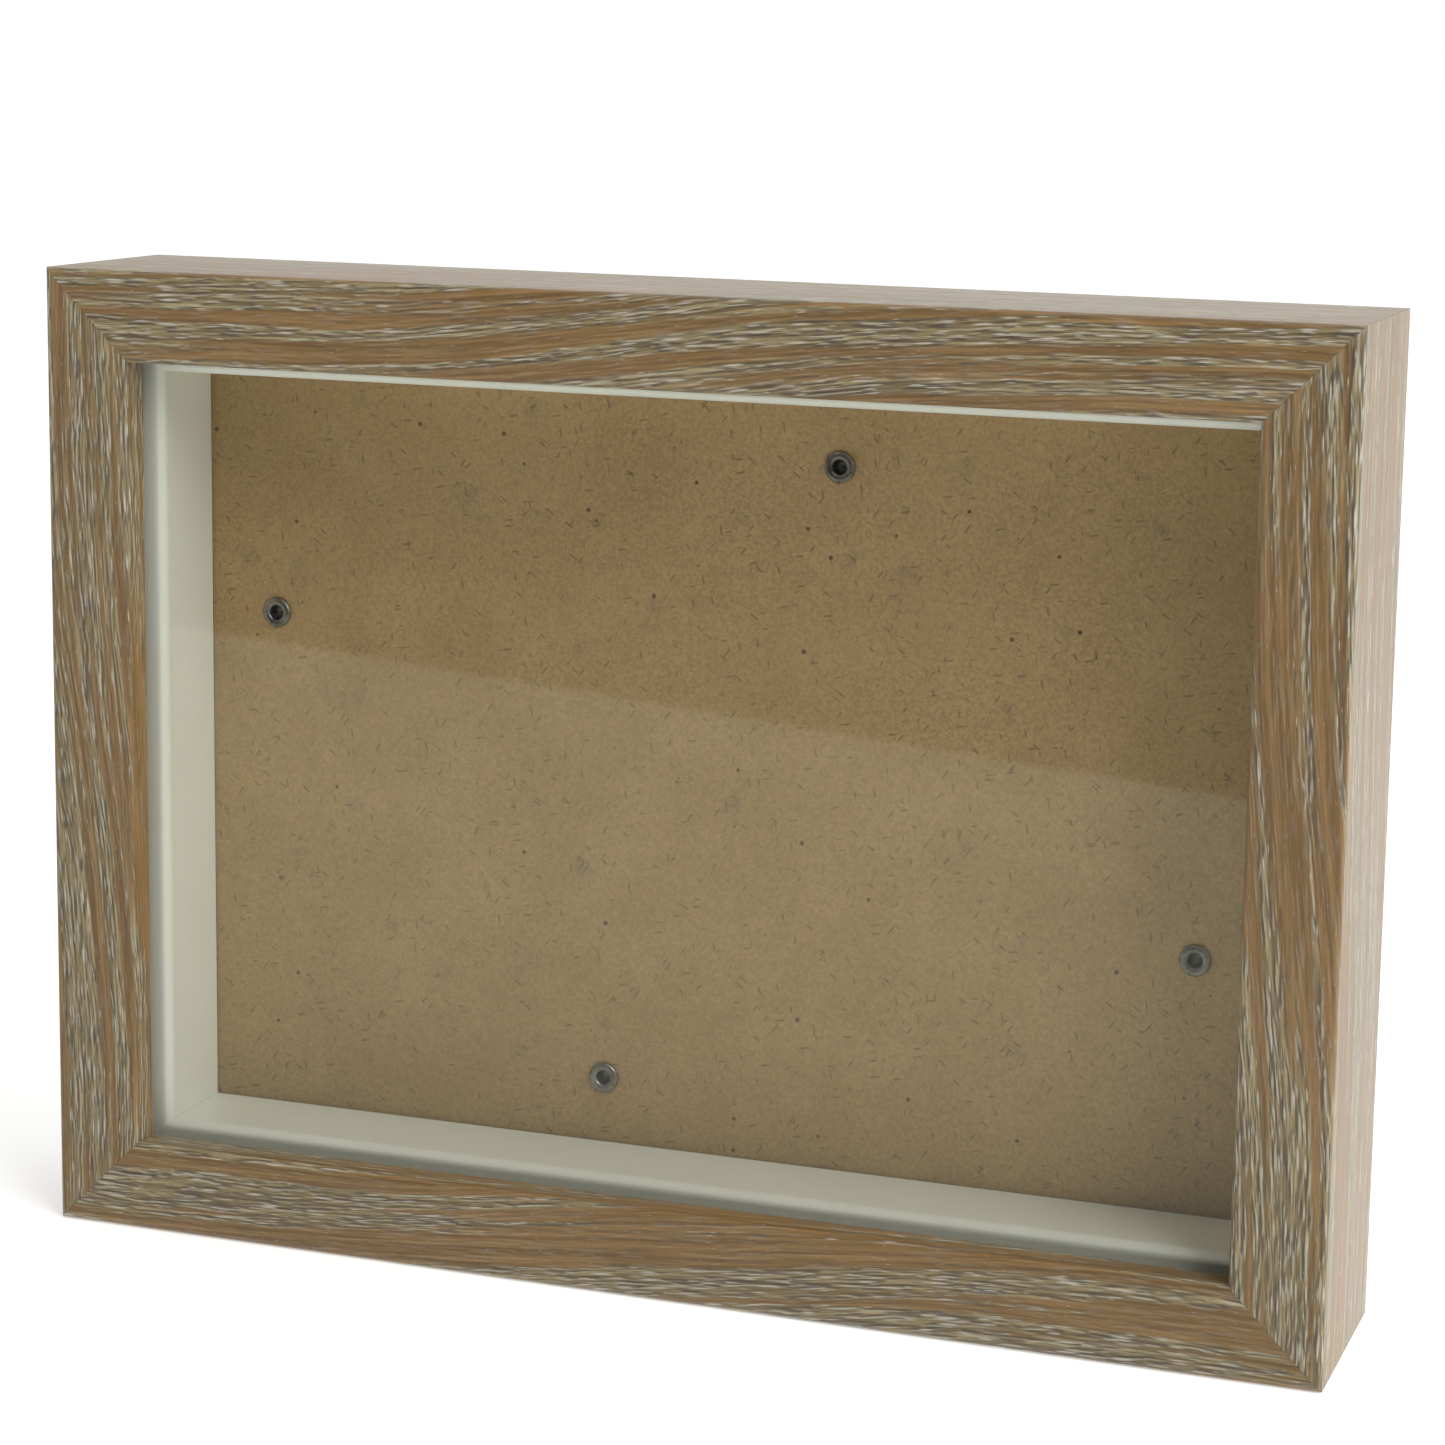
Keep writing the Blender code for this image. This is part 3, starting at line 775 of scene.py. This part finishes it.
def button_outline():
    """Flat shape of a turn button: round at the pivot, tapering to a narrower rounded tip."""
    half_tip = BUTTON_TIP_WIDTH / 2
    tip = BUTTON_REACH - BUTTON_TIP_RADIUS
    side = half_tip - BUTTON_TIP_RADIUS
    return [
        *arc((tip, -side), BUTTON_TIP_RADIUS, 270, 360),
        *arc((tip, side), BUTTON_TIP_RADIUS, 0, 90),
        *arc((0, 0), BUTTON_WIDTH / 2, 80, 280, 4 * ARC_STEPS),
    ]


def rivet_profile(plate_top):
    """Half section of a semi-tubular rivet: domed head, shank, rolled clinch in front and its bore."""
    board_front = BOARD_LOW.y - BOARD_HIGH.y
    clinch_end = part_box("rivet_top")[0].y - BOARD_HIGH.y
    head_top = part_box("rivet_top")[1].y - BOARD_HIGH.y
    roll = (CLINCH_RADIUS - BORE_RADIUS) / 2
    squash = (board_front - clinch_end) / (2 * roll)
    rolled = arc((0, 0), roll, 80, -200, 3 * ARC_STEPS)
    centre = (CLINCH_RADIUS - roll, board_front - roll * squash)
    rim = [(centre[0] + x, centre[1] + y * squash) for x, y in rolled]
    dome = arc((0, 0), 1, 90, 10, ARC_STEPS)
    head = [(RIVET_HEAD_RADIUS * x, plate_top + (head_top - plate_top) * y) for x, y in dome]
    head[0] = (0, head_top)
    return [
        *head,
        (RIVET_HEAD_FOOT_RADIUS, plate_top),
        (SHANK_RADIUS, plate_top),
        (SHANK_RADIUS, board_front),
        *rim,
        (BORE_RADIUS, board_front),
        *((BORE_RADIUS * across, clinch_end + BORE_DEPTH * deep) for across, deep in BORE_END),
    ]


def hole_mesh(bottom, top):
    """The cutter for a rivet's hole. It goes through the board and most of the way through the button."""
    form = bmesh.new()
    turned(form, [(0, top), (RIVET_HOLE_RADIUS, top), (RIVET_HOLE_RADIUS, bottom), (0, bottom)])
    return finish_mesh(form, "hole")


def build_button(side, upright, bottom, top, hole, finish):
    """A turn button: a flat plate with the rivet's hole, whose closed end lies under the rivet's head."""
    form = bmesh.new()
    prism(form, button_outline(), bottom, top)
    button = place(f"turn_button_{side}_plate", finish_mesh(form, "button"), upright, finish)
    cut(button, hole)
    soften(button, BUTTON_EDGE_RADIUS)
    settle(button)
    attach(button, "button_" + side, "zinc_steel", "turn_button_" + side)


def build_rivet(side, upright, plate_top, finish):
    form = bmesh.new()
    turned(form, rivet_profile(plate_top))
    mesh = finish_mesh(form, "rivet", ROLLED_SHARP_ANGLE)
    rivet = place(f"rivet_{side}_rolled", mesh, upright, finish)
    attach(rivet, "back_panel", "dark_steel", "rivet_" + side)


def build_back(finishes):
    """The backboard with its four rivets and the turn buttons on them."""
    form = bmesh.new()
    size = BOARD_HIGH - BOARD_LOW
    middle = (BOARD_HIGH + BOARD_LOW) / 2
    block = Matrix.Translation(middle) @ Matrix.Diagonal((*size, 1.0))
    bmesh.ops.create_cube(form, size=1.0, matrix=block)
    board = place("backboard_panel", finish_mesh(form, "board"), Matrix.Identity(4), finishes["hardboard"])
    soften(board, BOARD_EDGE_RADIUS)
    for side in BUTTON_TURNS:
        upright = button_matrix(side)
        hole = place("hole_" + side, hole_mesh(-size.y - CUT_MARGIN, CUT_MARGIN), upright)
        cut(board, hole)
        low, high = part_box("turn_button_" + side)
        bottom, top = low.y - BOARD_HIGH.y, high.y - BOARD_HIGH.y
        build_button(side, upright, bottom, top, hole, finishes["zinc_steel"])
        build_rivet(side, upright, top, finishes["dark_steel"])
    settle(board)
    attach(board, "back_panel", "raw_board", "backboard")


# ---------------------------------------------------------------- hangers

def hanger_matrix(side):
    """From a hanger's own axes (X along the rail, Y inwards, Z to the back) to the frame's."""
    turn = Matrix(((1, 0, 0), (0, 0, 1), (0, 1, 0))).to_4x4()
    lift = Matrix.Translation((0, CORE_BACK_Y, RAIL_THICKNESS / 2))
    return side_matrix(side) @ lift @ turn


def hanger_section():
    """Long section of a sawtooth hanger: two flat feet and a raised bridge between them."""
    foot, bridge = HANGER_LENGTH / 2, HANGER_BRIDGE / 2
    ramp, rise, sheet = bridge + HANGER_RAMP, HANGER_RISE, HANGER_THICKNESS
    lower = [(-foot, 0), (-ramp, 0), (-bridge, rise), (bridge, rise), (ramp, 0), (foot, 0)]
    upper = [(x, height + sheet) for x, height in reversed(lower)]
    return lower + upper


def tooth_comb():
    """Outline of the cutter that leaves the hanger's teeth on its inner edge."""
    edge = HANGER_WIDTH / 2 + TOOTH_CREST_RISE
    pitch = (HANGER_BRIDGE - HANGER_RAMP) / TOOTH_COUNT
    start = -pitch * TOOTH_COUNT / 2
    points = [(start, edge + CUT_MARGIN)]
    for index in range(TOOTH_COUNT):
        points.append((start + index * pitch, edge))
        points.append((start + (index + 0.5) * pitch, edge - TOOTH_DEPTH))
    points.append((-start, edge))
    points.append((-start, edge + CUT_MARGIN))
    return points[::-1]


def pin_profile():
    """Half section of a hanger pin: domed head, shank and point."""
    dome = arc((0, 0), 1, 90, 0, ARC_STEPS)
    head = [(PIN_HEAD_RADIUS * x, HANGER_THICKNESS + PIN_HEAD_HEIGHT * y) for x, y in dome]
    head[0] = (0, HANGER_THICKNESS + PIN_HEAD_HEIGHT)
    return [
        *head,
        (PIN_RADIUS, HANGER_THICKNESS),
        (PIN_RADIUS, PIN_POINT_LENGTH - PIN_LENGTH),
        (0, -PIN_LENGTH),
    ]


def build_pin(name, spot, finish):
    form = bmesh.new()
    turned(form, pin_profile(), PIN_STEPS)
    pin = place(name + "_nail", finish_mesh(form, "pin"), spot, finish)
    attach(pin, "frame", "brassed_steel", name)


def build_hangers(finish):
    """A sawtooth hanger with its two pins on the top rail, and another on the left one."""
    across = Matrix.Rotation(math.radians(90), 4, "X")
    for side in ("top", "left"):
        matrix = hanger_matrix(side)
        form = bmesh.new()
        prism(form, hanger_section(), -HANGER_WIDTH / 2, HANGER_WIDTH / 2)
        form.transform(across)
        hanger = place(f"hanger_{side}_plate", finish_mesh(form, "hanger"), matrix, finish)
        form = bmesh.new()
        prism(form, tooth_comb(), -CUT_MARGIN, 4 * HANGER_RISE)
        cut(hanger, place("teeth_" + side, finish_mesh(form, "teeth"), matrix))
        for label, sign in (("a", -1), ("b", 1)):
            spot = matrix @ Matrix.Translation((sign * PIN_SPREAD, 0, 0))
            build_pin(f"hanger_pin_{side}_{label}", spot, finish)
        soften(hanger, HANGER_EDGE_RADIUS, SMALL_BEVEL_STEPS)
        settle(hanger)
        attach(hanger, "frame", "brassed_steel", "hanger_" + side)


# ---------------------------------------------------------------- studio

# The camera that was fitted to the photo
CAMERA_PLACE = Vector((0.18225, -0.48341, 0.18665))
CAMERA_AIM = Vector((-0.313447, 0.935838, -0.161115))
CAMERA_ROLL = math.radians(1.08)
CAMERA_LENS = 87.95
CAMERA_SENSOR = 36.0
CAMERA_SHIFT = (-0.0768, -0.0818)
CAMERA_CLIP = (0.01, 50.0)

# The world's light at a direction: its dot product with this lean, plus the level
WORLD_LEAN = (0.16, 0.56, 0.30)
WORLD_LEVEL = 0.48

KEY_PLACE = Vector((1.20, -0.58, 1.20))
KEY_SIZE = 1.2
KEY_POWER = 22.5

FLOOR_HALF = 6.0
FLOOR_DROP = 0.1 * MM
FLOOR_COLOURS = ((0.90, 0.90, 0.89), (0.92, 0.92, 0.91))
FLOOR_GLOW = 0.38

# The table's edge in the glazing's reflection, from left to right, and the cards on either side of it
TABLE_EDGE = (Vector((-0.355, -0.496)), Vector((0.011, -0.380)))
TABLE_COLOUR = (0.50, 0.50, 0.43)
TABLE_GAP = 1 * MM
DARK_COLOUR = (0.03, 0.03, 0.03)
DARK_REACH = 5.0
CARD_OVERHANG = 0.8
CARD_LIFT = 0.5 * MM


def build_camera():
    data = bpy.data.cameras.new("camera")
    data.sensor_width = CAMERA_SENSOR
    data.lens = CAMERA_LENS
    data.shift_x, data.shift_y = CAMERA_SHIFT
    data.clip_start, data.clip_end = CAMERA_CLIP
    camera = bpy.data.objects.new("camera", data)
    aim = CAMERA_AIM.to_track_quat("-Z", "Y").to_matrix().to_4x4()
    camera.matrix_world = Matrix.Translation(CAMERA_PLACE) @ aim @ Matrix.Rotation(CAMERA_ROLL, 4, "Z")
    bpy.context.scene.collection.objects.link(camera)
    bpy.context.scene.camera = camera


def build_world():
    """White to the camera; as light, softly brighter behind, above and to the right."""
    world = bpy.data.worlds.new("studio")
    world.use_nodes = True
    nodes, links = world.node_tree.nodes, world.node_tree.links
    light = nodes["Background"]
    direction = nodes.new("ShaderNodeTexCoord").outputs["Generated"]
    lean = nodes.new("ShaderNodeVectorMath")
    lean.operation = "DOT_PRODUCT"
    lean.inputs[1].default_value = WORLD_LEAN
    links.new(direction, lean.inputs[0])
    level = nodes.new("ShaderNodeMath")
    level.operation = "ADD"
    level.inputs[1].default_value = WORLD_LEVEL
    links.new(lean.outputs["Value"], level.inputs[0])
    links.new(level.outputs[0], light.inputs["Strength"])
    light.inputs["Color"].default_value = (*WHITE, 1.0)
    seen = nodes.new("ShaderNodeBackground")
    seen.inputs["Color"].default_value = (*WHITE, 1.0)
    mix = nodes.new("ShaderNodeMixShader")
    links.new(nodes.new("ShaderNodeLightPath").outputs["Is Camera Ray"], mix.inputs[0])
    links.new(light.outputs[0], mix.inputs[1])
    links.new(seen.outputs[0], mix.inputs[2])
    links.new(mix.outputs[0], nodes["World Output"].inputs["Surface"])
    bpy.context.scene.world = world


def build_key_light():
    """A large soft light to the right, in front and above."""
    data = bpy.data.lights.new("key", "AREA")
    data.shape = "SQUARE"
    data.size = KEY_SIZE
    data.energy = KEY_POWER
    light = bpy.data.objects.new("key", data)
    aim = (-KEY_PLACE).to_track_quat("-Z", "Y").to_matrix().to_4x4()
    light.matrix_world = Matrix.Translation(KEY_PLACE) @ aim
    bpy.context.scene.collection.objects.link(light)


def build_floor():
    """A white floor that glows a little, so that no horizon shows against the world."""
    f = Finish("floor")
    cloud = f.noise(f.own_point(), (300, 300, 300), detail=3.0)
    f.set(base_color=f.mix(cloud, *FLOOR_COLOURS), roughness=0.9)
    f.set(emission_color=WHITE, emission_strength=FLOOR_GLOW)
    form = bmesh.new()
    bmesh.ops.create_grid(form, x_segments=1, y_segments=1, size=FLOOR_HALF)
    floor = place("floor", finish_mesh(form, "floor"), Matrix.Translation((0, 0, -FLOOR_DROP)), f.material)


def reflection_card(name, corners, colour):
    """A level card just over the floor that shows only in reflections."""
    material = bpy.data.materials.new(name)
    material.use_nodes = True
    nodes = material.node_tree.nodes
    glow = nodes.new("ShaderNodeEmission")
    glow.inputs["Color"].default_value = (*colour, 1.0)
    material.node_tree.links.new(glow.outputs[0], nodes["Material Output"].inputs["Surface"])
    form = bmesh.new()
    form.faces.new([form.verts.new((x, y, CARD_LIFT)) for x, y in corners])
    card = place(name, finish_mesh(form, name), Matrix.Identity(4), material)
    card.visible_camera = False
    card.visible_diffuse = False
    card.visible_transmission = False
    card.visible_volume_scatter = False
    card.visible_shadow = False


def build_cards():
    """In front of the frame the table is softly grey up to its edge, and dark beyond."""
    left, right = TABLE_EDGE
    along = (right - left).normalized()
    a, b = left - along * CARD_OVERHANG, right + along * CARD_OVERHANG
    away = Vector((along.y, -along.x)) * DARK_REACH
    reflection_card("dark_beyond", [a, b, b + away, a + away], DARK_COLOUR)
    near = FRONT_Y - TABLE_GAP
    reflection_card("table", [(a.x, near), (b.x, near), b, a], TABLE_COLOUR)


finishes = make_finishes()
build_rails(finishes)
build_liners(finishes)
build_back(finishes)
build_hangers(finishes["brassed_steel"])
clear_cutters()
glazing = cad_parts["glazing"]
glazing.data.materials.clear()
glazing.data.materials.append(finishes["clear_glass"])
build_camera()
build_world()
build_key_light()
build_floor()
build_cards()
bpy.context.scene.view_settings.view_transform = "Standard"
